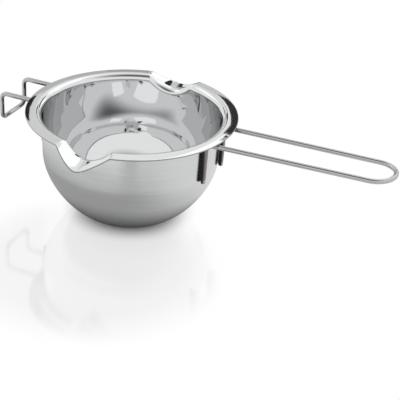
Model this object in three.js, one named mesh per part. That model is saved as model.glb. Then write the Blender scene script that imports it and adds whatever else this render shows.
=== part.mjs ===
// A melting bowl of polished stainless steel: a pressed bowl with two pouring lips, a long wire handle
// and a short wire hook that rests on the rim of a pot. Millimetres, +Z up. The bowl stands on z = 0
// with its axis on Z, the handle points along +X and the pouring lips face -Y and +Y.
import * as THREE from 'three';

// Bowl: a flat base, a rounded body, a slightly flared wall and an out-turned flange that falls a little
// to its edge, measured on the outer face of the sheet
const SHEET = 0.8;
const BASE_RADIUS = 24;
const BODY_RADIUS = 63.2;
const BODY_HEIGHT = 46.7;
const BODY_FULLNESS = 0.43;
const WALL_HEIGHT = 32;
const WALL_FLARE = THREE.MathUtils.degToRad(1.8);
const FLANGE_WIDTH = 11;
const FLANGE_SLOPE = THREE.MathUtils.degToRad(6);
const FLANGE_BEND_RADIUS = 3.7;

// Pouring lips: pressed down and drawn out of the flange, easing off down the wall. The trough is round
// at the wall and has straight sides that meet in a blunt point at the flange's edge.
const LIP_HALF_ANGLE = THREE.MathUtils.degToRad(15.65);
const LIP_POINT_ROUNDING = THREE.MathUtils.degToRad(3);
const LIP_DROP = 10;
const LIP_DROP_AT_WALL = 8;
const LIP_REACH = 8;
const LIP_BLEND = 14;

// Wire: the same round stock for handle and hook, with legs that lie down the wall
const WIRE_DIAMETER = 3.4;
const WIRE_BEND_RADIUS = 4.5;
const WIRE_CLEARANCE = 0.3;
const LEG_LENGTH = 30;

// Handle and hook, with lengths counted outwards from the flange's edge
const HANDLE_LENGTH = 116.7;
const HANDLE_HALF_WIDTH = 15.7;
const HANDLE_END_RADIUS = 14.4;
const HANDLE_RISE = 3;
const HOOK_LENGTH = 23.4;
const HOOK_HALF_WIDTH = 15.1;
const HOOK_DROP = 19.85;

// Weld seams between the legs and the wall
const WELD_THROAT = 0.2;
const WELD_SPREAD = THREE.MathUtils.degToRad(41);
const WELD_CLEARANCE = 0.12;
const WELD_INSET = 1.5;

// Facets
const AROUND_BOWL = 92;
const AROUND_WIRE = 12;
const BEND_STEPS = 6;
const HANDLE_END_STEPS = 12;
const WELD_STEPS = 3;
const SAME_POINT = 0.001;

const flangeBendHeight = BODY_HEIGHT + WALL_HEIGHT - SHEET - FLANGE_BEND_RADIUS;
const rimRadius = wallRadius(flangeBendHeight) + FLANGE_WIDTH;
const [flangeUnderside] = outerFace().at(-1);
const underEdge = flangeUnderside.v2.y;
const wireRadius = WIRE_DIAMETER / 2;
const legOffset = 2 * WELD_CLEARANCE + WELD_THROAT + wireRadius;

// Outer radius of the flared wall at a height
function wallRadius(height) {
  return BODY_RADIUS + (height - BODY_HEIGHT) * Math.tan(WALL_FLARE);
}

function steelMesh(name, geometry, roughness) {
  const material = new THREE.MeshStandardMaterial({ color: 0xc8cacc, metalness: 1, roughness });
  const mesh = new THREE.Mesh(geometry, material);
  mesh.name = name;
  return mesh;
}

// The outer face of the sheet from the middle of the base to the edge of the flange,
// as a chain of curves with the number of facets for each
function outerFace() {
  const base = new THREE.LineCurve(new THREE.Vector2(0, 0), new THREE.Vector2(BASE_RADIUS, 0));
  const shoulder = new THREE.Vector2(BODY_RADIUS, BODY_HEIGHT);
  const pull = BODY_FULLNESS * BODY_HEIGHT;
  const body = new THREE.CubicBezierCurve(
    base.v2,
    new THREE.Vector2(BASE_RADIUS + BODY_FULLNESS * (BODY_RADIUS - BASE_RADIUS), 0),
    new THREE.Vector2(wallRadius(BODY_HEIGHT - pull), BODY_HEIGHT - pull),
    shoulder,
  );
  const wallTop = flangeBendHeight + FLANGE_BEND_RADIUS * Math.sin(WALL_FLARE);
  const wall = new THREE.LineCurve(shoulder, new THREE.Vector2(wallRadius(wallTop), wallTop));
  const bendCentre = wallRadius(wallTop) + FLANGE_BEND_RADIUS * Math.cos(WALL_FLARE);
  const flangeBend = new THREE.EllipseCurve(
    bendCentre, flangeBendHeight,
    FLANGE_BEND_RADIUS, FLANGE_BEND_RADIUS,
    Math.PI - WALL_FLARE, Math.PI / 2 - FLANGE_SLOPE, true,
  );
  const bendEnd = flangeBend.getPoint(1);
  const fall = (rimRadius - bendEnd.x) * Math.tan(FLANGE_SLOPE);
  const flangeRun = new THREE.LineCurve(bendEnd, new THREE.Vector2(rimRadius, bendEnd.y - fall));
  return [[base, 1], [body, 10], [wall, 4], [flangeBend, 4], [flangeRun, 2]];
}

// The closed section of the bowl: up the outer face, over the flange's edge and back down the inner face
function bowlSection() {
  const outer = [new THREE.Vector2(0, 0)];
  const inner = [new THREE.Vector2(0, SHEET)];
  for (const [curve, facets] of outerFace()) {
    for (let i = 1; i <= facets; i += 1) {
      const point = curve.getPoint(i / facets);
      const along = curve.getTangent(i / facets);
      outer.push(point);
      inner.push(new THREE.Vector2(point.x - SHEET * along.y, point.y + SHEET * along.x));
    }
  }
  return [...outer, ...inner.reverse()];
}

// How far a lip is pressed at an angle from its middle, from 1 there to 0 at its sides
function lipPress(angle, overFlange) {
  const across = Math.min(1, angle / LIP_HALF_ANGLE);
  const rounding = LIP_POINT_ROUNDING / LIP_HALF_ANGLE;
  const side = Math.hypot(1, rounding);
  const pointed = (side - Math.hypot(across, rounding)) / (side - rounding);
  return THREE.MathUtils.lerp(1 - across ** 2, pointed, overFlange);
}

// Press both pouring lips: the flange sinks and is drawn out, most at its edge, and the top of the wall
// sinks with it
function pressLips(geometry) {
  const positions = geometry.attributes.position;
  const root = flangeBendHeight - LIP_DROP_AT_WALL - LIP_BLEND;
  const innerRadius = wallRadius(flangeBendHeight);
  for (let i = 0; i < positions.count; i += 1) {
    const x = positions.getX(i);
    const y = positions.getY(i);
    const z = positions.getZ(i);
    const radius = Math.hypot(x, y);
    const angle = Math.atan2(Math.abs(x), Math.abs(y));
    const upWall = THREE.MathUtils.smoothstep(z, root, flangeBendHeight);
    const overFlange = Math.max(0, (radius - innerRadius) / FLANGE_WIDTH);
    const press = upWall * lipPress(angle, overFlange);
    const drawn = radius + press * overFlange * LIP_REACH;
    const stretch = radius > 0 ? drawn / radius : 1;
    const drop = press * THREE.MathUtils.lerp(LIP_DROP_AT_WALL, LIP_DROP, overFlange);
    positions.setXYZ(i, x * stretch, y * stretch, z - drop);
  }
}

function bowlShell() {
  const geometry = new THREE.LatheGeometry(bowlSection(), AROUND_BOWL);
  geometry.rotateX(Math.PI / 2);
  pressLips(geometry);
  geometry.computeVertexNormals();
  return steelMesh('bowl_shell', geometry, 0.14);
}

// The line of a bent wire through its stations, with one facet step between neighbours
class WireLine extends THREE.Curve {
  constructor(stations) {
    super();
    this.stations = stations;
  }

  getPoint(t, target = new THREE.Vector3()) {
    const last = this.stations.length - 2;
    const place = t * (last + 1);
    const index = Math.min(Math.floor(place), last);
    return target.lerpVectors(this.stations[index], this.stations[index + 1], place - index);
  }

  getUtoTmapping(u) {
    return u;
  }
}

// The round arc that replaces a corner, starting and ending at a distance from it
function cornerArc(before, corner, after, distance, steps) {
  const toBefore = before.clone().sub(corner).normalize();
  const toAfter = after.clone().sub(corner).normalize();
  const half = toBefore.angleTo(toAfter) / 2;
  const centre = toBefore.clone().add(toAfter).setLength(distance / Math.cos(half)).add(corner);
  const start = toBefore.multiplyScalar(distance).add(corner).sub(centre);
  const end = toAfter.multiplyScalar(distance).add(corner).sub(centre);
  const sweep = start.angleTo(end);
  const points = [];
  for (let i = 0; i <= steps; i += 1) {
    const fromStart = Math.sin(sweep * (1 - i / steps)) / Math.sin(sweep);
    const fromEnd = Math.sin(sweep * i / steps) / Math.sin(sweep);
    points.push(centre.clone().addScaledVector(start, fromStart).addScaledVector(end, fromEnd));
  }
  return points;
}

// A wire given by the corners of its front half, from the foot of the leg outwards. The back half mirrors it.
function bentWire(name, frontHalf) {
  const backHalf = frontHalf.map((corner) => ({ ...corner, at: corner.at.clone().setY(-corner.at.y) }));
  const corners = [...frontHalf, ...backHalf.reverse()];
  const stations = [];
  corners.forEach(({ at, distance, steps }, i) => {
    const points = distance ? cornerArc(corners[i - 1].at, at, corners[i + 1].at, distance, steps) : [at];
    for (const point of points) {
      const isNew = stations.length === 0 || stations.at(-1).distanceTo(point) > SAME_POINT;
      if (isNew) stations.push(point);
    }
  });
  const section = new THREE.Shape().absarc(0, 0, wireRadius, 0, 2 * Math.PI);
  const geometry = new THREE.ExtrudeGeometry(section, {
    steps: stations.length - 1,
    curveSegments: AROUND_WIRE / 2,
    bevelEnabled: false,
    extrudePath: new WireLine(stations),
  });
  return steelMesh(name, geometry, 0.2);
}

// Angle round the bowl, from the X axis, at which a wire's leg lies on the wall
function legAngle(halfWidth, height) {
  return Math.asin(halfWidth / (wallRadius(height) + legOffset));
}

// Point on the axis of a front leg at a height
function legPoint(angle, height) {
  const reach = wallRadius(height) + legOffset;
  return new THREE.Vector3(reach * Math.cos(angle), -reach * Math.sin(angle), height);
}

// Height at which a wire leaves the wall so that, rising to its end, it clears the flange's edge
function runHeight(length, rise) {
  const share = FLANGE_WIDTH / (FLANGE_WIDTH + length);
  return underEdge - WIRE_CLEARANCE - wireRadius - rise * share;
}

function handleWire(top) {
  const angle = legAngle(HANDLE_HALF_WIDTH, top);
  const end = new THREE.Vector3(rimRadius + HANDLE_LENGTH, -HANDLE_END_RADIUS, top + HANDLE_RISE);
  return bentWire('handle_wire', [
    { at: legPoint(angle, top - LEG_LENGTH) },
    { at: legPoint(angle, top), distance: WIRE_BEND_RADIUS, steps: BEND_STEPS },
    { at: end, distance: HANDLE_END_RADIUS, steps: HANDLE_END_STEPS },
  ]);
}

function hookWire(top) {
  const angle = legAngle(HOOK_HALF_WIDTH, top);
  const rounded = { distance: WIRE_BEND_RADIUS, steps: BEND_STEPS };
  const end = new THREE.Vector3(rimRadius + HOOK_LENGTH, -HOOK_HALF_WIDTH, top);
  const wire = bentWire('hook_wire', [
    { at: legPoint(angle, top - LEG_LENGTH) },
    { at: legPoint(angle, top), ...rounded },
    { at: end, ...rounded },
    { at: end.clone().setZ(top - HOOK_DROP), ...rounded },
  ]);
  wire.rotation.z = Math.PI;
  return wire;
}

// A seam fills the wedge between a leg and the wall: flat on the wall, hollow where it takes the wire
function weldSeam(name, angle, top) {
  const hollow = wireRadius + WELD_CLEARANCE;
  const halfWidth = hollow * Math.sin(WELD_SPREAD);
  const section = new THREE.Shape();
  section.moveTo(WELD_CLEARANCE, halfWidth);
  section.lineTo(WELD_CLEARANCE, -halfWidth);
  section.absarc(legOffset, 0, hollow, Math.PI + WELD_SPREAD, Math.PI - WELD_SPREAD, true);
  const foot = top - LEG_LENGTH + WELD_INSET;
  const depth = LEG_LENGTH - WIRE_BEND_RADIUS - 2 * WELD_INSET;
  const straight = { depth, curveSegments: WELD_STEPS, bevelEnabled: false };
  const geometry = new THREE.ExtrudeGeometry(section, straight);
  const mesh = steelMesh(name, geometry, 0.45);
  mesh.position.set(wallRadius(foot), 0, foot);
  mesh.rotation.y = WALL_FLARE;
  const seat = new THREE.Group();
  seat.rotation.z = angle;
  return seat.add(mesh);
}

const handleTop = runHeight(HANDLE_LENGTH, HANDLE_RISE);
const handleAngle = legAngle(HANDLE_HALF_WIDTH, handleTop);
const hookTop = runHeight(HOOK_LENGTH, 0);
const hookAngle = legAngle(HOOK_HALF_WIDTH, hookTop);

const meltingBowl = new THREE.Group();
meltingBowl.add(
  bowlShell(),
  handleWire(handleTop),
  weldSeam('weld_handle_front', -handleAngle, handleTop),
  weldSeam('weld_handle_back', handleAngle, handleTop),
  hookWire(hookTop),
  weldSeam('weld_hook_front', Math.PI + hookAngle, hookTop),
  weldSeam('weld_hook_back', Math.PI - hookAngle, hookTop),
);

export default meltingBowl;
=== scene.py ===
import math

import bmesh
import bpy
from mathutils import Matrix, Quaternion, Vector
from mathutils.geometry import interpolate_bezier


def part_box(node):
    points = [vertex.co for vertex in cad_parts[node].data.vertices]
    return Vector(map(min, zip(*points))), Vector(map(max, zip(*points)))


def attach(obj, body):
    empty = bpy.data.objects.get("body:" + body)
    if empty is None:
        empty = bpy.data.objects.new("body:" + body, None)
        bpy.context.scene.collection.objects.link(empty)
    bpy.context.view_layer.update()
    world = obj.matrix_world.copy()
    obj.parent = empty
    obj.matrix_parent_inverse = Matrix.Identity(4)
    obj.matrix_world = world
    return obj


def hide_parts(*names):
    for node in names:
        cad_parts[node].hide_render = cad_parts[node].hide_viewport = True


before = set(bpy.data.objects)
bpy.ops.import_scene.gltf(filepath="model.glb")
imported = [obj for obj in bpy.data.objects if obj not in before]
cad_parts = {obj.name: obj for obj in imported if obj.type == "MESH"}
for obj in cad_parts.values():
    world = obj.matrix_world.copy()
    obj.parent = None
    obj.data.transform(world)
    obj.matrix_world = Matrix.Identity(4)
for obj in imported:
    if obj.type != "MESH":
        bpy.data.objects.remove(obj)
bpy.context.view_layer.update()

# Bowl: one disc of stainless sheet, pressed to a bowl with a flat base, an out-turned flange and two
# pouring lips. The outside is brushed to a satin finish on a lathe, the inside and the flange are polished
# to a mirror, and the flange's edge is left dull where it was trimmed. The edge is also coloured dark as
# painted shade under the flange's edge.
SHEET = 0.0008
BASE_RADIUS = 0.024
BODY_RADIUS = 0.0632
BODY_HEIGHT = 0.0467
BODY_FULLNESS = 0.43
WALL_FLARE = math.radians(1.8)
FLANGE_WIDTH = 0.011
FLANGE_SLOPE = math.radians(6)
FLANGE_CROWN = math.radians(2)
FLANGE_BEND_RADIUS = 0.0037
FLANGE_EDGE_ROUNDING = 0.00025
FLANGE_EDGE_ANGLE = math.radians(60)
LIP_HALF_ANGLE = math.radians(15.65)
LIP_POINT_ROUNDING = math.radians(3)
LIP_DROP = 0.01
LIP_DROP_AT_WALL = 0.008
LIP_REACH = 0.008
LIP_BLEND = 0.014
LIP_CREASE = 0.8
AROUND_BOWL = 184
BODY_RINGS = 24
WALL_RINGS = 14
BEND_RINGS = 8
FLANGE_RINGS = 5
EDGE_RINGS = 2
NEGLIGIBLE = 0.00001

bowl_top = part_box("bowl_shell")[1].z
flange_bend_height = bowl_top - SHEET - FLANGE_BEND_RADIUS


def wall_radius(height):
    """Outer radius of the flared wall at a height."""
    return BODY_RADIUS + (height - BODY_HEIGHT) * math.tan(WALL_FLARE)


wall_top_radius = wall_radius(flange_bend_height)
rim_radius = wall_top_radius + FLANGE_WIDTH
lip_root = flange_bend_height - LIP_DROP_AT_WALL - LIP_BLEND


def body_rings():
    """The rounded body, from the edge of the base to the foot of the wall, as (radius, height)."""
    pull = BODY_FULLNESS * BODY_HEIGHT
    curve = interpolate_bezier(
        Vector((BASE_RADIUS, 0)),
        Vector((BASE_RADIUS + BODY_FULLNESS * (BODY_RADIUS - BASE_RADIUS), 0)),
        Vector((wall_radius(BODY_HEIGHT - pull), BODY_HEIGHT - pull)),
        Vector((BODY_RADIUS, BODY_HEIGHT)),
        BODY_RINGS + 1,
    )
    return [tuple(point) for point in curve[1:]]


def wall_rings():
    """The flared wall, up to where the flange's bend starts."""
    top = flange_bend_height + FLANGE_BEND_RADIUS * math.sin(WALL_FLARE)
    heights = [BODY_HEIGHT + (top - BODY_HEIGHT) * i / WALL_RINGS for i in range(1, WALL_RINGS + 1)]
    return [(wall_radius(height), height) for height in heights]


def flange_rings():
    """The bend out of the wall and the slightly crowned flange that falls to its edge."""
    wall_end = wall_rings()[-1]
    bend_centre = wall_end[0] + FLANGE_BEND_RADIUS * math.cos(WALL_FLARE)
    start = math.pi - WALL_FLARE
    end = math.pi / 2 - (FLANGE_SLOPE - FLANGE_CROWN)
    rings = []
    for i in range(1, BEND_RINGS + 1):
        angle = start + (end - start) * i / BEND_RINGS
        rings.append((
            bend_centre + FLANGE_BEND_RADIUS * math.cos(angle),
            flange_bend_height + FLANGE_BEND_RADIUS * math.sin(angle),
        ))
    radius, height = rings[-1]
    step = (rim_radius - radius) / FLANGE_RINGS
    for i in range(FLANGE_RINGS):
        across = (i + 0.5) / FLANGE_RINGS
        radius += step
        height -= step * math.tan(FLANGE_SLOPE + FLANGE_CROWN * (2 * across - 1))
        rings.append((radius, height))
    return rings


def lip_angle(point):
    """Angle round the bowl from the middle of the nearer lip."""
    return math.atan2(abs(point.x), abs(point.y))


def lip_press(angle, over_flange):
    """Share of a lip's full depth: round across at the wall, with straight sides to a point at the edge."""
    across = min(1, angle / LIP_HALF_ANGLE)
    rounding = LIP_POINT_ROUNDING / LIP_HALF_ANGLE
    side = math.hypot(1, rounding)
    pointed = (side - math.hypot(across, rounding)) / (side - rounding)
    rounded = 1 - across ** 2
    return rounded + (pointed - rounded) * over_flange


def pressed(point):
    """Where the lip tool leaves a point of the drawn bowl: sunk, and drawn out towards the edge."""
    radius = math.hypot(point.x, point.y)
    climb = min(1, max(0, (point.z - lip_root) / (flange_bend_height - lip_root)))
    up_wall = climb * climb * (3 - 2 * climb)
    over_flange = max(0, (radius - wall_top_radius) / FLANGE_WIDTH)
    press = up_wall * lip_press(lip_angle(point), over_flange)
    stretch = 1 + press * over_flange * LIP_REACH / radius
    drop = press * (LIP_DROP_AT_WALL + (LIP_DROP - LIP_DROP_AT_WALL) * over_flange)
    return Vector((point.x * stretch, point.y * stretch, point.z - drop))


def on_base(point):
    """Whether a point lies on the flat base."""
    return point.z < NEGLIGIBLE


def on_lip_side(point):
    """Whether a point lies on the fold between a lip and the flange."""
    quarter_step = math.pi / AROUND_BOWL / 2
    return point.z > lip_root and abs(lip_angle(point) - LIP_HALF_ANGLE) < quarter_step


def select_edges(piece, wanted):
    """Selects, in edit mode, only the edges whose ends both lie where they are wanted."""
    bpy.ops.mesh.select_all(action="DESELECT")
    mesh = bmesh.from_edit_mesh(piece.data)
    for edge in mesh.edges:
        edge.select = all(wanted(vertex.co) for vertex in edge.verts)


def apply_modifier(piece, kind, **settings):
    """Adds a modifier with these settings and applies it."""
    modifier = piece.modifiers.new(kind.title(), kind)
    for name, value in settings.items():
        setattr(modifier, name, value)
    bpy.ops.object.modifier_apply(modifier=modifier.name)


def put_node(tree, kind, **values):
    """Adds a node and sets its properties and inputs by name."""
    node = tree.nodes.new(kind)
    for name, value in values.items():
        if hasattr(node, name):
            setattr(node, name, value)
        else:
            node.inputs[name].default_value = value
    return node


def calculate(tree, operation, first, second):
    """The result of an operation on two values, each a number or a node's output."""
    node = put_node(tree, "ShaderNodeMath", operation=operation)
    for socket, given in zip(node.inputs, (first, second)):
        if isinstance(given, (int, float)):
            socket.default_value = given
        else:
            tree.links.new(given, socket)
    return node.outputs[0]


def ease(tree, value, span, levels):
    """A level that eases from the first to the second as a value crosses a span."""
    node = put_node(tree, "ShaderNodeMapRange", interpolation_type="SMOOTHSTEP")
    for socket, number in zip(("From Min", "From Max", "To Min", "To Max"), (*span, *levels)):
        node.inputs[socket].default_value = number
    tree.links.new(value, node.inputs["Value"])
    return node.outputs["Result"]


def new_group(name, inputs, outputs):
    """An empty shader node group with number sockets, and its input and output nodes."""
    group = bpy.data.node_groups.new(name, "ShaderNodeTree")
    for socket in inputs:
        group.interface.new_socket(socket, in_out="INPUT", socket_type="NodeSocketFloat")
    for socket in outputs:
        group.interface.new_socket(socket, in_out="OUTPUT", socket_type="NodeSocketFloat")
    return group, group.nodes.new("NodeGroupInput"), group.nodes.new("NodeGroupOutput")


def turning_marks():
    """Marks left by a pad held against the turning bowl: fine broken rings round the Z axis.

    The group also gives a point's distance from that axis and its height above the base.
    """
    group, given, result = new_group(
        "turning_marks", ["Spacing", "Break"], ["Height", "Radius", "Height above base"],
    )
    link = group.links.new
    place = put_node(group, "ShaderNodeTexCoord")
    split = put_node(group, "ShaderNodeSeparateXYZ")
    link(place.outputs["Object"], split.inputs[0])
    flat = put_node(group, "ShaderNodeCombineXYZ")
    link(split.outputs["X"], flat.inputs["X"])
    link(split.outputs["Y"], flat.inputs["Y"])
    radius = put_node(group, "ShaderNodeVectorMath", operation="LENGTH")
    link(flat.outputs[0], radius.inputs[0])
    around = put_node(group, "ShaderNodeVectorMath", operation="NORMALIZE")
    link(flat.outputs[0], around.inputs[0])
    broken = put_node(group, "ShaderNodeVectorMath", operation="SCALE")
    link(around.outputs["Vector"], broken.inputs[0])
    link(given.outputs["Break"], broken.inputs["Scale"])
    along = calculate(group, "ADD", radius.outputs["Value"], split.outputs["Z"])
    lift = put_node(group, "ShaderNodeCombineXYZ")
    link(calculate(group, "DIVIDE", along, given.outputs["Spacing"]), lift.inputs["Z"])
    rings = put_node(group, "ShaderNodeVectorMath", operation="ADD")
    link(broken.outputs["Vector"], rings.inputs[0])
    link(lift.outputs[0], rings.inputs[1])
    grain = put_node(group, "ShaderNodeTexNoise", Scale=1, Detail=3, Roughness=0.6)
    link(rings.outputs["Vector"], grain.inputs["Vector"])
    link(grain.outputs["Fac"], result.inputs["Height"])
    link(radius.outputs["Value"], result.inputs["Radius"])
    link(split.outputs["Z"], result.inputs["Height above base"])
    return group


def handling_marks():
    """Faint smears of wiping and handling, in soft patches of the given size."""
    group, given, result = new_group("handling_marks", ["Size"], ["Smear"])
    link = group.links.new
    place = put_node(group, "ShaderNodeTexCoord")
    cloud = put_node(group, "ShaderNodeTexNoise", Detail=4, Roughness=0.55)
    link(place.outputs["Object"], cloud.inputs["Vector"])
    link(calculate(group, "DIVIDE", 1, given.outputs["Size"]), cloud.inputs["Scale"])
    link(cloud.outputs["Fac"], result.inputs["Smear"])
    return group


TURNING_MARKS = turning_marks()
HANDLING_MARKS = handling_marks()


def put_group(tree, group, **values):
    """Places a node group in a material with its own values."""
    node = put_node(tree, "ShaderNodeGroup", node_tree=group)
    for name, value in values.items():
        node.inputs[name].default_value = value
    return node


def blend_colours(tree, share, first, second):
    """A colour that goes from the first to the second with a share, each a colour or a node's output."""
    node = put_node(tree, "ShaderNodeMix", data_type="RGBA")
    sockets = {socket.identifier: socket for socket in [*node.inputs, *node.outputs]}
    for socket, colour in ((sockets["A_Color"], first), (sockets["B_Color"], second)):
        if isinstance(colour, tuple):
            socket.default_value = (*colour, 1)
        else:
            tree.links.new(colour, socket)
    tree.links.new(share, sockets["Factor_Float"])
    return sockets["Result_Color"]


def steel(name, colour):
    """A stainless steel, with its node tree and shader to be finished."""
    material = bpy.data.materials.new(name)
    material.use_nodes = True
    tree = material.node_tree
    shader = tree.nodes["Principled BSDF"]
    shader.inputs["Base Color"].default_value = (*colour, 1)
    shader.inputs["Metallic"].default_value = 1
    return material, tree, shader


def add_bump(tree, shader, height, depth, strength):
    """Feeds a height to the shader's normal, with depth the height's full range in metres."""
    bump = put_node(tree, "ShaderNodeBump", Strength=strength, Distance=depth)
    tree.links.new(height, bump.inputs["Height"])
    tree.links.new(bump.outputs["Normal"], shader.inputs["Normal"])


# Noise levels between which a mark goes from faint to full.
PATCHES = (0.35, 0.65)
SOFT_PATCHES = (0.3, 0.7)

SATIN_DARK = (0.679, 0.684, 0.689)
SATIN_PALE = (0.703, 0.708, 0.713)
SATIN_ROUGHNESS = (0.17, 0.21)
SATIN_RING_ROUGHNESS = (0, 0.06)
SATIN_STREAKING = 0.6
SATIN_STREAK_TURN = 0.25
satin, satin_tree, satin_shader = steel("satin_steel", SATIN_PALE)
satin_bands = put_group(satin_tree, TURNING_MARKS, Spacing=0.0016, Break=2)
satin_shade = ease(satin_tree, satin_bands.outputs["Height"], PATCHES, (0, 1))
satin_tree.links.new(
    blend_colours(satin_tree, satin_shade, SATIN_DARK, SATIN_PALE), satin_shader.inputs["Base Color"],
)
satin_shader.inputs["Anisotropic"].default_value = SATIN_STREAKING
satin_shader.inputs["Anisotropic Rotation"].default_value = SATIN_STREAK_TURN
satin_tangent = put_node(satin_tree, "ShaderNodeTangent", direction_type="RADIAL", axis="Z")
satin_tree.links.new(satin_tangent.outputs["Tangent"], satin_shader.inputs["Tangent"])
satin_smears = put_group(satin_tree, HANDLING_MARKS, Size=0.03)
satin_marks = put_group(satin_tree, TURNING_MARKS, Spacing=0.0005, Break=3)
satin_roughness = calculate(
    satin_tree, "ADD",
    ease(satin_tree, satin_smears.outputs["Smear"], PATCHES, SATIN_ROUGHNESS),
    ease(satin_tree, satin_marks.outputs["Height"], SOFT_PATCHES, SATIN_RING_ROUGHNESS),
)
satin_tree.links.new(satin_roughness, satin_shader.inputs["Roughness"])

# The mirror finish is a little rougher and more wavy on the flange than inside.
MIRROR_COLOUR = (0.73, 0.735, 0.74)
MIRROR_ROUGHNESS = (0.03, 0.04)
MIRROR_SMEAR_ROUGHNESS = (0, 0.02)
MIRROR_WAVINESS = (0.1, 1)
MIRROR_WAVE_DEPTH = 0.00003
inside_to_flange = (wall_top_radius - SHEET, wall_top_radius)
mirror, mirror_tree, mirror_shader = steel("mirror_steel", MIRROR_COLOUR)
mirror_smears = put_group(mirror_tree, HANDLING_MARKS, Size=0.02)
mirror_reach = put_group(mirror_tree, TURNING_MARKS).outputs["Radius"]
mirror_roughness = calculate(
    mirror_tree, "ADD",
    ease(mirror_tree, mirror_reach, inside_to_flange, MIRROR_ROUGHNESS),
    ease(mirror_tree, mirror_smears.outputs["Smear"], PATCHES, MIRROR_SMEAR_ROUGHNESS),
)
mirror_tree.links.new(mirror_roughness, mirror_shader.inputs["Roughness"])
mirror_waves = put_group(mirror_tree, HANDLING_MARKS, Size=0.012)
mirror_height = calculate(
    mirror_tree, "MULTIPLY", mirror_waves.outputs["Smear"],
    ease(mirror_tree, mirror_reach, inside_to_flange, MIRROR_WAVINESS),
)
add_bump(mirror_tree, mirror_shader, mirror_height, MIRROR_WAVE_DEPTH, strength=1)

# Trimmed edge: dull from the shears, and coloured dark as painted shade under the flange's edge.
TRIMMED_SHADED_COLOUR = (0.34, 0.34, 0.345)
TRIMMED_ROUGHNESS = (0.22, 0.34)
trimmed, trimmed_tree, trimmed_shader = steel("trimmed_steel", TRIMMED_SHADED_COLOUR)
trimmed_marks = put_group(trimmed_tree, HANDLING_MARKS, Size=0.002)
trimmed_tree.links.new(
    ease(trimmed_tree, trimmed_marks.outputs["Smear"], PATCHES, TRIMMED_ROUGHNESS),
    trimmed_shader.inputs["Roughness"],
)

bpy.ops.object.select_all(action="DESELECT")
bpy.ops.mesh.primitive_circle_add(vertices=AROUND_BOWL, radius=BASE_RADIUS)
bowl = bpy.context.object
bowl.name = "pressed_bowl"
bowl_finishes = [satin, mirror, trimmed]
for finish in bowl_finishes:
    bowl.data.materials.append(finish)
bpy.ops.object.mode_set(mode="EDIT")
bpy.ops.mesh.select_mode(type="EDGE")
ring_radius, ring_height = BASE_RADIUS, 0
for radius, height in body_rings() + wall_rings() + flange_rings():
    bpy.ops.mesh.extrude_region_move(TRANSFORM_OT_translate={"value": (0, 0, height - ring_height)})
    spread = radius / ring_radius
    bpy.ops.transform.resize(value=(spread, spread, 1), center_override=(0, 0, height))
    ring_radius, ring_height = radius, height
select_edges(bowl, on_base)
bpy.ops.mesh.fill_grid(span=AROUND_BOWL // 4)
bpy.ops.mesh.select_all(action="SELECT")
bpy.ops.mesh.normals_make_consistent(inside=True)
bpy.ops.object.mode_set(mode="OBJECT")
for vertex in bowl.data.vertices:
    vertex.co = pressed(vertex.co)
inside_finish = bowl_finishes.index(mirror)
edge_finish = bowl_finishes.index(trimmed)
apply_modifier(
    bowl, "SOLIDIFY", thickness=SHEET, offset=-1, use_even_offset=True,
    material_offset=inside_finish, material_offset_rim=edge_finish,
)
apply_modifier(
    bowl, "BEVEL", width=FLANGE_EDGE_ROUNDING, segments=EDGE_RINGS,
    limit_method="ANGLE", angle_limit=FLANGE_EDGE_ANGLE, material=edge_finish,
)
bpy.ops.object.mode_set(mode="EDIT")
select_edges(bowl, on_lip_side)
bpy.ops.transform.edge_crease(value=LIP_CREASE)
bpy.ops.object.mode_set(mode="OBJECT")
apply_modifier(bowl, "SUBSURF", levels=1, render_levels=1)
bpy.ops.object.shade_smooth()
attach(bowl, "root")
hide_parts("bowl_shell")

# Handle: one length of drawn stainless wire, bent to a long loop. Its two ends turn down under the flange
# and lie against the wall as legs, which are welded on. The legs are coloured darker, partly as heat tint
# from the welding and partly as painted shade under the flange, and their sides facing the wall are painted
# near black as shade between wire and wall.
WIRE_DIAMETER = 0.0034
WIRE_BEND_RADIUS = 0.0045
WIRE_CLEARANCE = 0.0003
WIRE_END_ROUNDING = 0.0004
LEG_LENGTH = 0.03
LEG_OFFSET = 0.00214
HANDLE_HALF_WIDTH = 0.0157
HANDLE_END_RADIUS = 0.0144
HANDLE_RISE = 0.003
AROUND_WIRE = 32
BEND_STEPS = 16
WIRE_END_RINGS = 3
SHARP_EDGE = math.radians(50)

wire_radius = WIRE_DIAMETER / 2
flange_edge = flange_rings()[-1]


def leg_angle(half_width, height):
    """Angle round the bowl, from the X axis, at which a leg lies on the wall."""
    return math.asin(half_width / (wall_radius(height) + LEG_OFFSET))


def leg_point(angle, height):
    """Point on the axis of a front leg at a height."""
    reach = wall_radius(height) + LEG_OFFSET
    return Vector((reach * math.cos(angle), -reach * math.sin(angle), height))


def extrude_by(step):
    """Draws the selected ring of the wire straight on."""
    if step.length > NEGLIGIBLE:
        bpy.ops.mesh.extrude_region_move(TRANSFORM_OT_translate={"value": step})


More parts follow.
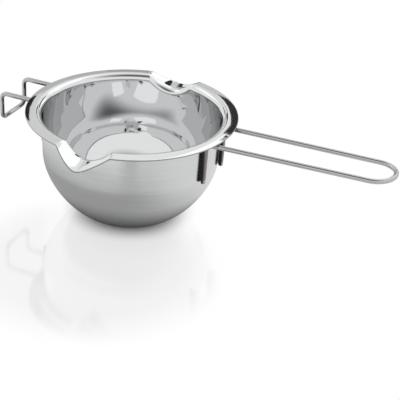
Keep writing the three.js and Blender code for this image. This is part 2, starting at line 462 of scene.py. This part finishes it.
def bend_wire(name, front_half):
    """Bends a wire through the corners of its front half and back through their mirror images.

    Each corner comes with the distance from it at which the wire's bend starts.
    """
    mirrored = [(Vector((at.x, -at.y, at.z)), distance) for at, distance in reversed(front_half)]
    corners = front_half + mirrored
    foot, knee = corners[0][0], corners[1][0]
    bpy.ops.object.select_all(action="DESELECT")
    bpy.ops.mesh.primitive_circle_add(
        vertices=AROUND_WIRE, radius=wire_radius, location=foot,
        rotation=(knee - foot).to_track_quat("Z", "Y").to_euler(),
    )
    wire = bpy.context.object
    wire.name = name
    bpy.ops.object.transform_apply()
    bpy.ops.object.mode_set(mode="EDIT")
    bpy.ops.mesh.select_mode(type="EDGE")
    reached = foot
    for (before, _), (corner, distance), (after, _) in zip(corners, corners[1:], corners[2:]):
        towards = (corner - before).normalized()
        onwards = (after - corner).normalized()
        turn = towards.angle(onwards)
        axis = towards.cross(onwards).normalized()
        bend_start = corner - towards * distance
        extrude_by(bend_start - reached)
        centre = bend_start + axis.cross(towards) * distance / math.tan(turn / 2)
        bpy.ops.mesh.spin(steps=BEND_STEPS, angle=-turn, center=centre, axis=axis)
        reached = corner + onwards * distance
    extrude_by(corners[-1][0] - reached)
    bpy.ops.mesh.select_all(action="SELECT")
    bpy.ops.mesh.remove_doubles(threshold=NEGLIGIBLE)
    bpy.ops.mesh.fill_holes(sides=0)
    bpy.ops.mesh.normals_make_consistent(inside=False)
    bpy.ops.mesh.select_mode(type="FACE")
    bpy.ops.mesh.select_all(action="DESELECT")
    mesh = bmesh.from_edit_mesh(wire.data)
    for face in mesh.faces:
        face.select = len(face.verts) == AROUND_WIRE
    bpy.ops.mesh.bevel(offset=WIRE_END_ROUNDING, segments=WIRE_END_RINGS)
    bpy.ops.object.mode_set(mode="OBJECT")
    bpy.ops.object.shade_smooth_by_angle(angle=SHARP_EDGE)
    return wire


def run_height(length, rise):
    """Height at which a wire leaves the wall so that, rising to its end, it clears the flange's edge."""
    return flange_edge[1] - WIRE_CLEARANCE - wire_radius - rise * FLANGE_WIDTH / (FLANGE_WIDTH + length)


handle_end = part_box("handle_wire")[1].x - wire_radius
handle_top = run_height(handle_end - rim_radius, HANDLE_RISE)
handle_angle = leg_angle(HANDLE_HALF_WIDTH, handle_top)
handle = bend_wire("handle_loop", [
    (leg_point(handle_angle, handle_top - LEG_LENGTH), 0),
    (leg_point(handle_angle, handle_top), WIRE_BEND_RADIUS),
    (Vector((handle_end, -HANDLE_END_RADIUS, handle_top + HANDLE_RISE)), HANDLE_END_RADIUS),
])

WIRE_COLOUR = (0.5, 0.5, 0.505)
WIRE_ROUGHNESS = (0.07, 0.13)
# Legs: coloured darker, less so near the foot; partly heat tint from the welding, partly painted shade
# under the flange.
HEAT_AND_SHADE_TINT = (0.24, 0.235, 0.23)
# Painted shade: the side of each leg that faces the wall is coloured near black.
BACK_SHADE_COLOUR = (0.02, 0.02, 0.02)
PALER_FOOT = 0.004
PALER_FOOT_SHARE = 0.3
leg_foot = handle_top - LEG_LENGTH
leg_reach = wall_radius(handle_top) + LEG_OFFSET
wire_steel, wire_tree, wire_shader = steel("wire_steel", WIRE_COLOUR)
wire_smears = put_group(wire_tree, HANDLING_MARKS, Size=0.015)
wire_tree.links.new(
    ease(wire_tree, wire_smears.outputs["Smear"], PATCHES, WIRE_ROUGHNESS), wire_shader.inputs["Roughness"],
)
wire_place = put_group(wire_tree, TURNING_MARKS)
wire_reach = wire_place.outputs["Radius"]
wire_height = wire_place.outputs["Height above base"]
# Heat tint and painted shade: the legs are darkened, except near the foot.
leg_heat_and_shade = calculate(
    wire_tree, "MULTIPLY",
    ease(wire_tree, wire_reach, (leg_reach + wire_radius, leg_reach + WIRE_DIAMETER), (1, 0)),
    ease(wire_tree, wire_height, (leg_foot + PALER_FOOT / 2, leg_foot + PALER_FOOT), (PALER_FOOT_SHARE, 1)),
)
# Painted shade between wire and wall: near black on the side of each leg that faces the wall.
back_shade_share = ease(wire_tree, wire_reach, (leg_reach - wire_radius / 2, leg_reach + wire_radius / 2), (1, 0))
wire_tint = blend_colours(wire_tree, leg_heat_and_shade, WIRE_COLOUR, HEAT_AND_SHADE_TINT)
wire_tree.links.new(
    blend_colours(wire_tree, back_shade_share, wire_tint, BACK_SHADE_COLOUR), wire_shader.inputs["Base Color"],
)
handle.data.materials.append(wire_steel)
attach(handle, "root")
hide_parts("handle_wire")

# Hook: a shorter length of the same wire. It runs out level under the flange, turns down and closes with a
# cross bar, so that it hangs over the rim of a pot. Its legs are welded on as the handle's are.
HOOK_HALF_WIDTH = 0.0151
HOOK_DROP = 0.01985

hook_end = -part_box("hook_wire")[0].x - wire_radius
hook_top = run_height(hook_end - rim_radius, rise=0)
hook_angle = leg_angle(HOOK_HALF_WIDTH, hook_top)
hook = bend_wire("pot_hook", [
    (leg_point(hook_angle, hook_top - LEG_LENGTH), 0),
    (leg_point(hook_angle, hook_top), WIRE_BEND_RADIUS),
    (Vector((hook_end, -HOOK_HALF_WIDTH, hook_top)), WIRE_BEND_RADIUS),
    (Vector((hook_end, -HOOK_HALF_WIDTH, hook_top - HOOK_DROP)), WIRE_BEND_RADIUS),
])
to_far_side = Matrix.Rotation(math.pi, 4, "Z")
hook.data.transform(to_far_side)
hook.data.materials.append(wire_steel)
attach(hook, "root")
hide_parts("hook_wire")

# Weld seams: one along each of the four legs, in the wedge between the wire and the wall. The metal was
# melted in short steps, so the seam is rippled, and it is left dull with straw patches of heat tint. Its
# near-black colour is painted shade of the gap between wire and wall.
WELD_CLEARANCE = 0.00012
WELD_SPREAD = math.radians(41)
WELD_INSET = 0.0015
WELD_RIPPLE = 0.0009
WELD_RIPPLE_SHARE = 0.09
RIPPLE_STEPS = 6
ACROSS_WELD = 12

weld_length = LEG_LENGTH - WIRE_BEND_RADIUS - 2 * WELD_INSET
weld_hollow = wire_radius + WELD_CLEARANCE
weld_half_width = weld_hollow * math.sin(WELD_SPREAD)

# Painted shade: the seam is coloured near black for the gap between wire and wall, with straw heat patches.
WELD_SHADE_BLACK = (0.04, 0.04, 0.04)
WELD_STRAW = (0.09, 0.075, 0.06)
WELD_ROUGHNESS = (0.32, 0.5)
WELD_PIT_DEPTH = 0.0001
WELD_PIT_STRENGTH = 0.6
SHARP_PATCHES = (0.4, 0.6)
weld_steel, weld_tree, weld_shader = steel("weld_steel", WELD_SHADE_BLACK)
weld_marks = put_group(weld_tree, HANDLING_MARKS, Size=0.002).outputs["Smear"]
weld_tree.links.new(
    ease(weld_tree, weld_marks, SOFT_PATCHES, WELD_ROUGHNESS), weld_shader.inputs["Roughness"],
)
weld_heat = ease(weld_tree, weld_marks, SHARP_PATCHES, (0, 1))
weld_tree.links.new(
    blend_colours(weld_tree, weld_heat, WELD_SHADE_BLACK, WELD_STRAW), weld_shader.inputs["Base Color"],
)
add_bump(weld_tree, weld_shader, weld_marks, WELD_PIT_DEPTH, WELD_PIT_STRENGTH)


def wedge_point(point):
    """Moves a point of a flat strip to the seam's section: flat on the wall, hollow for the wire."""
    if point.y < 0:
        return Vector((WELD_CLEARANCE, point.x, 0))
    reach = math.sqrt(weld_hollow ** 2 - point.x ** 2)
    return Vector((LEG_OFFSET - reach, point.x, 0))


bpy.ops.object.select_all(action="DESELECT")
bpy.ops.mesh.primitive_grid_add(x_subdivisions=ACROSS_WELD, y_subdivisions=1, size=2 * weld_half_width)
seam = bpy.context.object
for vertex in seam.data.vertices:
    vertex.co = wedge_point(vertex.co)
bpy.ops.object.mode_set(mode="EDIT")
bpy.ops.mesh.select_mode(type="FACE")
ripple_width = 1
for i in range(round(weld_length / WELD_RIPPLE * RIPPLE_STEPS)):
    bpy.ops.mesh.extrude_region_move(TRANSFORM_OT_translate={"value": (0, 0, WELD_RIPPLE / RIPPLE_STEPS)})
    width = 1 - WELD_RIPPLE_SHARE * abs(math.sin(math.pi * (i + 1) / RIPPLE_STEPS))
    spread = width / ripple_width
    bpy.ops.transform.resize(value=(1, spread, 1), center_override=(0, 0, 0))
    ripple_width = width
bpy.ops.mesh.select_all(action="SELECT")
bpy.ops.mesh.normals_make_consistent(inside=False)
bpy.ops.object.mode_set(mode="OBJECT")
bpy.ops.object.shade_smooth_by_angle(angle=SHARP_EDGE)
seam.data.materials.append(weld_steel)


def lay_seam(node, angle, top):
    """Lays a copy of the seam along a leg and puts it in place of its node."""
    foot = top - LEG_LENGTH + WELD_INSET
    piece = seam.copy()
    piece.data = seam.data.copy()
    piece.name = node.replace("weld", "seam")
    bpy.context.collection.objects.link(piece)
    turn = Matrix.Rotation(angle, 4, "Z")
    tilt = Matrix.Rotation(WALL_FLARE, 4, "Y")
    piece.data.transform(turn @ Matrix.Translation((wall_radius(foot), 0, foot)) @ tilt)
    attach(piece, "root")
    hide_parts(node)


lay_seam("weld_handle_front", -handle_angle, handle_top)
lay_seam("weld_handle_back", handle_angle, handle_top)
lay_seam("weld_hook_front", math.pi + hook_angle, hook_top)
lay_seam("weld_hook_back", math.pi - hook_angle, hook_top)
bpy.data.objects.remove(seam)

# Camera at the photograph's viewing angle. Light may bounce often, because it passes many times between the
# polished walls before it leaves the bowl.
VIEW_TARGET = Vector((0, 0, 0.05))
VIEW_AZIMUTH = math.radians(22.182)
VIEW_ELEVATION = math.radians(29.447)
VIEW_ROLL = math.radians(3.705)
VIEW_DISTANCE = 0.81127
VIEW_SIDEWAYS = 0.049262
VIEW_UPWARDS = -0.038309
FOCAL_LENGTH = 101.66
SENSOR_WIDTH = 36
LIGHT_BOUNCES = 12
back = Vector((
    math.sin(VIEW_AZIMUTH) * math.cos(VIEW_ELEVATION),
    -math.cos(VIEW_AZIMUTH) * math.cos(VIEW_ELEVATION),
    math.sin(VIEW_ELEVATION),
))
level_right = Vector((math.cos(VIEW_AZIMUTH), math.sin(VIEW_AZIMUTH), 0))
level_up = back.cross(level_right)
right = level_right * math.cos(VIEW_ROLL) + level_up * math.sin(VIEW_ROLL)
up = level_up * math.cos(VIEW_ROLL) - level_right * math.sin(VIEW_ROLL)
bpy.ops.object.camera_add()
camera = bpy.context.object
camera.data.lens = FOCAL_LENGTH
camera.data.sensor_width = SENSOR_WIDTH
camera.matrix_world = Matrix((right, up, back)).transposed().to_4x4()
camera.location = VIEW_TARGET + right * VIEW_SIDEWAYS + up * VIEW_UPWARDS + back * VIEW_DISTANCE
bpy.context.scene.camera = camera
bpy.context.scene.view_settings.view_transform = "Standard"
bpy.context.scene.cycles.glossy_bounces = LIGHT_BOUNCES
bpy.context.scene.cycles.min_light_bounces = LIGHT_BOUNCES

# Reflections: cards and softboxes that show only in reflections, set round the table as a photographer
# sets them to draw the edges of polished metal. Four small cards, clear from behind, stand by the hook.
DOWN = (0, 0, -1)
UP = (0, 0, 1)
TO_FRONT = (0, -1, 0)
TO_HOOK = (-1, 0, 0)
SOFTBOX_FACING = (-0.15, -0.6, -0.65)
LEFT_SOFTBOX_FACING = (0.755, -0.16, -0.636)
SOFTBOX_GLOW = 1.35
BLACK = 0.04
CARD_FADE = (0.5, 0.9)
DROP_CARD_SIZE = (0.018, 0.014)
ARM_CARD_SIZE = (0.0205, 0.024)


def only_reflections(card):
    """Keeps a card out of the picture and of the light on the object."""
    card.visible_camera = False
    card.visible_diffuse = False
    card.visible_shadow = False
    card.visible_transmission = False


def cover(tree, share, under, over):
    """One shader laid over another with a share."""
    mix = put_node(tree, "ShaderNodeMixShader")
    tree.links.new(share, mix.inputs["Fac"])
    tree.links.new(under, mix.inputs[1])
    tree.links.new(over, mix.inputs[2])
    return mix.outputs["Shader"]


def add_card(name, centre, size, facing, glow, tilt=0, edge_glow=None, clear_behind=False):
    """Stands a flat card so that it faces along a direction, tilted in its plane by some degrees.

    It glows evenly, or eases from its middle to another glow at its edge. A card that is clear behind is
    seen from its face only.
    """
    stand = Vector(facing).to_track_quat("Z", "Y") @ Quaternion((0, 0, 1), math.radians(tilt))
    bpy.ops.mesh.primitive_plane_add(size=1, location=centre, rotation=stand.to_euler())
    card = bpy.context.object
    card.name = name
    card.scale = (*size, 1)
    material = bpy.data.materials.new(name)
    material.use_nodes = True
    tree = material.node_tree
    tree.nodes.remove(tree.nodes["Principled BSDF"])
    light = put_node(tree, "ShaderNodeEmission", Strength=glow)
    if edge_glow is not None:
        place = put_node(tree, "ShaderNodeTexCoord")
        middle = put_node(tree, "ShaderNodeTexGradient", gradient_type="SPHERICAL")
        tree.links.new(place.outputs["Object"], middle.inputs["Vector"])
        strength = ease(tree, middle.outputs["Fac"], CARD_FADE, (edge_glow, glow))
        tree.links.new(strength, light.inputs["Strength"])
    surface = light.outputs["Emission"]
    if clear_behind:
        side = put_node(tree, "ShaderNodeNewGeometry")
        clear = put_node(tree, "ShaderNodeBsdfTransparent")
        surface = cover(tree, side.outputs["Backfacing"], surface, clear.outputs["BSDF"])
    tree.links.new(surface, tree.nodes["Material Output"].inputs["Surface"])
    material.cycles.emission_sampling = "NONE"
    card.data.materials.append(material)
    only_reflections(card)


add_card("overhead_card", (0, -0.25, 0.8), (1.8, 1.2), DOWN, glow=0.15, edge_glow=1)
add_card("front_card", (-0.2, -0.7, 0.001), (1.6, 0.8), UP, glow=0.1)
add_card("back_card_low", (-0.05, 0.8, 0.08), (1, 0.16), TO_FRONT, BLACK)
add_card("back_card_grey", (-0.385, 0.79, 0.21), (0.13, 0.22), TO_FRONT, glow=0.44)
add_card("back_card_mid", (-0.5, 0.79, 0.24), (0.1, 0.24), TO_FRONT, glow=0.54)
add_card("back_card_soft", (-0.63, 0.79, 0.285), (0.16, 0.27), TO_FRONT, glow=0.58)
add_card("back_card_pale", (-0.7, 0.79, 0.71), (0.3, 0.58), TO_FRONT, glow=0.8)
add_card("back_card_line", (-0.39, 0.785, 0.4625), (0.26, 0.065), TO_FRONT, glow=0.05)
add_card("softbox", (0.17, 0.75, 0.85), (0.86, 0.62), SOFTBOX_FACING, SOFTBOX_GLOW)
add_card("left_softbox", (-0.607, 0.191, 0.62), (0.352, 0.315), LEFT_SOFTBOX_FACING, SOFTBOX_GLOW)
add_card("left_card_black", (-0.7447, 0.78, 0.515), (0.12, 0.243), TO_FRONT, glow=0.02, tilt=20.5)
add_card("right_card_black", (-0.1031, 0.8, 0.4212), (0.13, 0.235), TO_FRONT, BLACK, tilt=-19)
add_card("right_card_end", (-0.0716, 0.8, 0.5386), (0.172, 0.07), TO_FRONT, BLACK, tilt=17)
add_card("right_card_stripe", (-0.072, 0.8, 0.596), (0.135, 0.017), TO_FRONT, BLACK, tilt=22.6)
add_card("right_card_band", (-0.0745, 0.8, 0.6256), (0.14, 0.028), TO_FRONT, glow=0.45, tilt=27.7)
add_card("right_card_white", (0.045, 0.81, 0.32), (0.31, 0.24), TO_FRONT, SOFTBOX_GLOW)
add_card("right_card_grey", (-0.22, 0.81, 0.265), (0.17, 0.21), TO_FRONT, glow=0.7)
add_card("near_drop_card", (-0.092, -0.009, 0.061), DROP_CARD_SIZE, TO_HOOK, glow=0.05, clear_behind=True)
add_card("far_drop_card", (-0.092, 0.021, 0.061), DROP_CARD_SIZE, TO_HOOK, glow=0.05, clear_behind=True)
add_card("near_arm_card", (-0.0853, -0.02, 0.066), ARM_CARD_SIZE, UP, glow=0.25, clear_behind=True)
add_card("far_arm_card", (-0.0853, 0.01, 0.066), ARM_CARD_SIZE, UP, glow=0.05, clear_behind=True)

# Floor: a pale table top. The camera sees it white beyond the bowl's shadow, with a faint mirror image of
# the bowl in front. The metal sees it dark under the bowl and unevenly lit round it.
FLOOR_SIZE = 8
FLOOR_COLOUR = (0.93, 0.93, 0.93, 1)
FLOOR_ROUGHNESS = 0.6
BOWL_PLACE = (0, 0, 0)
SHADOW_SPAN = (0.025, 0.052)
CONTACT_SPAN = (0.028, 0.07)
CONTACT_LEVELS = (0.06, 1)
DIM_PLACE = (0.084, -0.178, 0)
DIM_SPAN = (0, 0.055)
DIM_LEVELS = (0.58, 1)
LIGHT_SIDE = (0.8, 0.6, 0)
NEAR_TO_FAR = (0.105, 0.205)
NEAR_SPAN = (-0.03, 0.12)
NEAR_LEVELS = (0.42, 0.9)
FAR_SPAN = (-0.15, 0.05)
FAR_LEVELS = (1.1, 0.86)
GLOSS_PLACE = (0.01, -0.08, 0)
GLOSS_SPAN = (0.06, 0.1)
GLOSS_LEVELS = (0.24, 0)
GLOSS_ROUGHNESS = 0.08

bpy.ops.mesh.primitive_plane_add(size=FLOOR_SIZE)
floor = bpy.context.object
floor.name = "floor"
floor_material = bpy.data.materials.new("white_floor")
floor_material.use_nodes = True
floor_tree = floor_material.node_tree
floor_shader = floor_tree.nodes["Principled BSDF"]
floor_shader.inputs["Base Color"].default_value = FLOOR_COLOUR
floor_shader.inputs["Roughness"].default_value = FLOOR_ROUGHNESS
floor_shader.inputs["Specular IOR Level"].default_value = 0
floor_place = put_node(floor_tree, "ShaderNodeTexCoord")
floor_rays = put_node(floor_tree, "ShaderNodeLightPath")
camera_ray = floor_rays.outputs["Is Camera Ray"]
glossy_ray = floor_rays.outputs["Is Glossy Ray"]


def floor_level(centre, span, levels):
    """A level that eases with the distance from a place on the floor."""
    distance = put_node(floor_tree, "ShaderNodeVectorMath", operation="DISTANCE")
    floor_tree.links.new(floor_place.outputs["Object"], distance.inputs[0])
    distance.inputs[1].default_value = centre
    return ease(floor_tree, distance.outputs["Value"], span, levels)


floor_side = put_node(floor_tree, "ShaderNodeVectorMath", operation="DOT_PRODUCT")
floor_tree.links.new(floor_place.outputs["Object"], floor_side.inputs[0])
floor_side.inputs[1].default_value = LIGHT_SIDE
to_light = floor_side.outputs["Value"]
floor_open = put_node(floor_tree, "ShaderNodeMix")
floor_tree.links.new(floor_level(BOWL_PLACE, NEAR_TO_FAR, (0, 1)), floor_open.inputs["Factor"])
floor_tree.links.new(ease(floor_tree, to_light, NEAR_SPAN, NEAR_LEVELS), floor_open.inputs["A"])
floor_tree.links.new(ease(floor_tree, to_light, FAR_SPAN, FAR_LEVELS), floor_open.inputs["B"])
floor_contact = calculate(
    floor_tree, "MULTIPLY",
    floor_level(BOWL_PLACE, CONTACT_SPAN, CONTACT_LEVELS), floor_level(DIM_PLACE, DIM_SPAN, DIM_LEVELS),
)
floor_shade = calculate(floor_tree, "MULTIPLY", floor_contact, floor_open.outputs["Result"])
floor_glow = put_node(floor_tree, "ShaderNodeEmission")
floor_tree.links.new(
    calculate(floor_tree, "MAXIMUM", camera_ray, floor_shade), floor_glow.inputs["Strength"],
)
floor_seen = calculate(
    floor_tree, "MULTIPLY", camera_ray, floor_level(BOWL_PLACE, SHADOW_SPAN, (0, 1)),
)
floor_white = calculate(floor_tree, "MAXIMUM", floor_seen, glossy_ray)
floor_plain = cover(floor_tree, floor_white, floor_shader.outputs["BSDF"], floor_glow.outputs["Emission"])
floor_gloss = put_node(floor_tree, "ShaderNodeBsdfGlossy", Roughness=GLOSS_ROUGHNESS)
floor_shine = calculate(
    floor_tree, "MULTIPLY", camera_ray, floor_level(GLOSS_PLACE, GLOSS_SPAN, GLOSS_LEVELS),
)
floor_tree.links.new(
    cover(floor_tree, floor_shine, floor_plain, floor_gloss.outputs["BSDF"]),
    floor_tree.nodes["Material Output"].inputs["Surface"],
)
floor_material.cycles.emission_sampling = "NONE"
floor.data.materials.append(floor_material)

# Room and lamp: a white room, as the camera and the metal see it, that lights the object softly, and one
# large lamp overhead.
ROOM_COLOUR = (1, 1, 1, 1)
ROOM_WHITE = 1
ROOM_LIGHT = 0.28
LAMP_PLACE = Vector((0.3, 0.3, 1.0))
LAMP_SIZE = 0.9
LAMP_POWER = 11

world = bpy.data.worlds.new("white_room")
bpy.context.scene.world = world
world.use_nodes = True
world.cycles.sampling_method = "NONE"
room = world.node_tree
room_rays = put_node(room, "ShaderNodeLightPath")
room_strength = put_node(room, "ShaderNodeMapRange")
room_strength.inputs["To Min"].default_value = ROOM_LIGHT
room_strength.inputs["To Max"].default_value = ROOM_WHITE
room.links.new(
    calculate(room, "MAXIMUM", room_rays.outputs["Is Camera Ray"], room_rays.outputs["Is Glossy Ray"]),
    room_strength.inputs["Value"],
)
background = room.nodes["Background"]
background.inputs["Color"].default_value = ROOM_COLOUR
room.links.new(room_strength.outputs["Result"], background.inputs["Strength"])

bpy.ops.object.light_add(
    type="AREA", location=LAMP_PLACE, rotation=LAMP_PLACE.to_track_quat("Z", "Y").to_euler(),
)
lamp = bpy.context.object
lamp.data.size = LAMP_SIZE
lamp.data.energy = LAMP_POWER
lamp.visible_glossy = False
